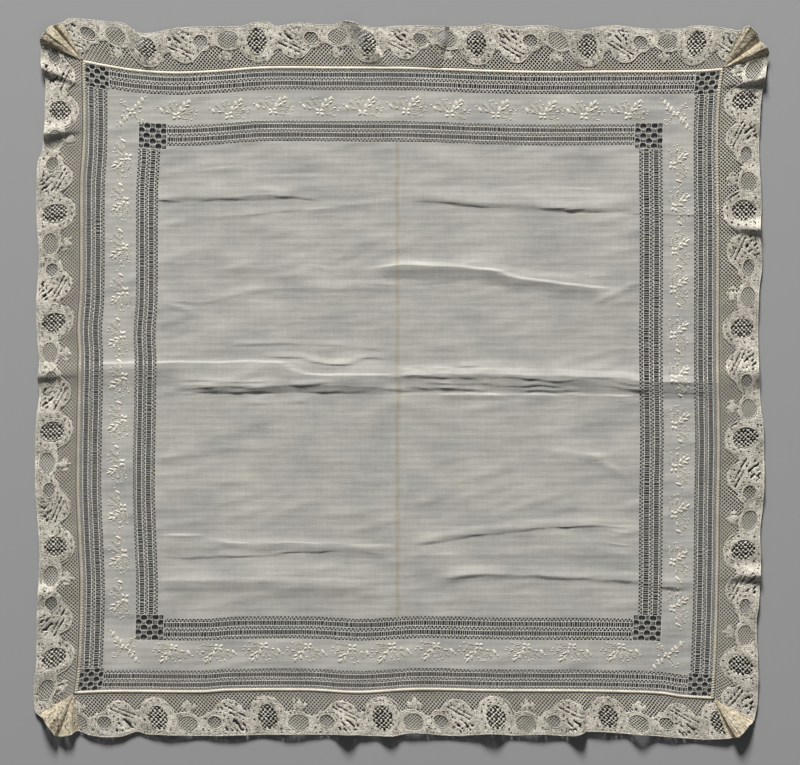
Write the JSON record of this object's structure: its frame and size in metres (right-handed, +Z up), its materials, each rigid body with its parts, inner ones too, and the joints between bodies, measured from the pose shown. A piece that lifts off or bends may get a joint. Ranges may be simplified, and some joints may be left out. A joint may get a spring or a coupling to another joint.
{
  "type": "lace handkerchief",
  "caption": "Square linen handkerchief laid flat and creased, with drawn-thread bands, openwork corner squares and a gathered bobbin-lace edging.",
  "frame": {"origin": "on the surface that the cloth lies on, under the middle of its outline", "axes": "+Z up off the surface, +X along the cloth's longer side, +Y along the other side towards the edge drawn at the top when seen from above"},
  "size_m": [0.3678, 0.3604, 0.0058],
  "materials": {
    "linen": "matt, fine plain weave with slubs",
    "thread": "soft cotton embroidery thread, slightly lustrous",
    "lace": "matt, fine linen lace thread"
  },
  "bodies": {
    "root": {"linen_cloth": "linen", "lace_edging": "lace"}
  },
  "joints": []
}
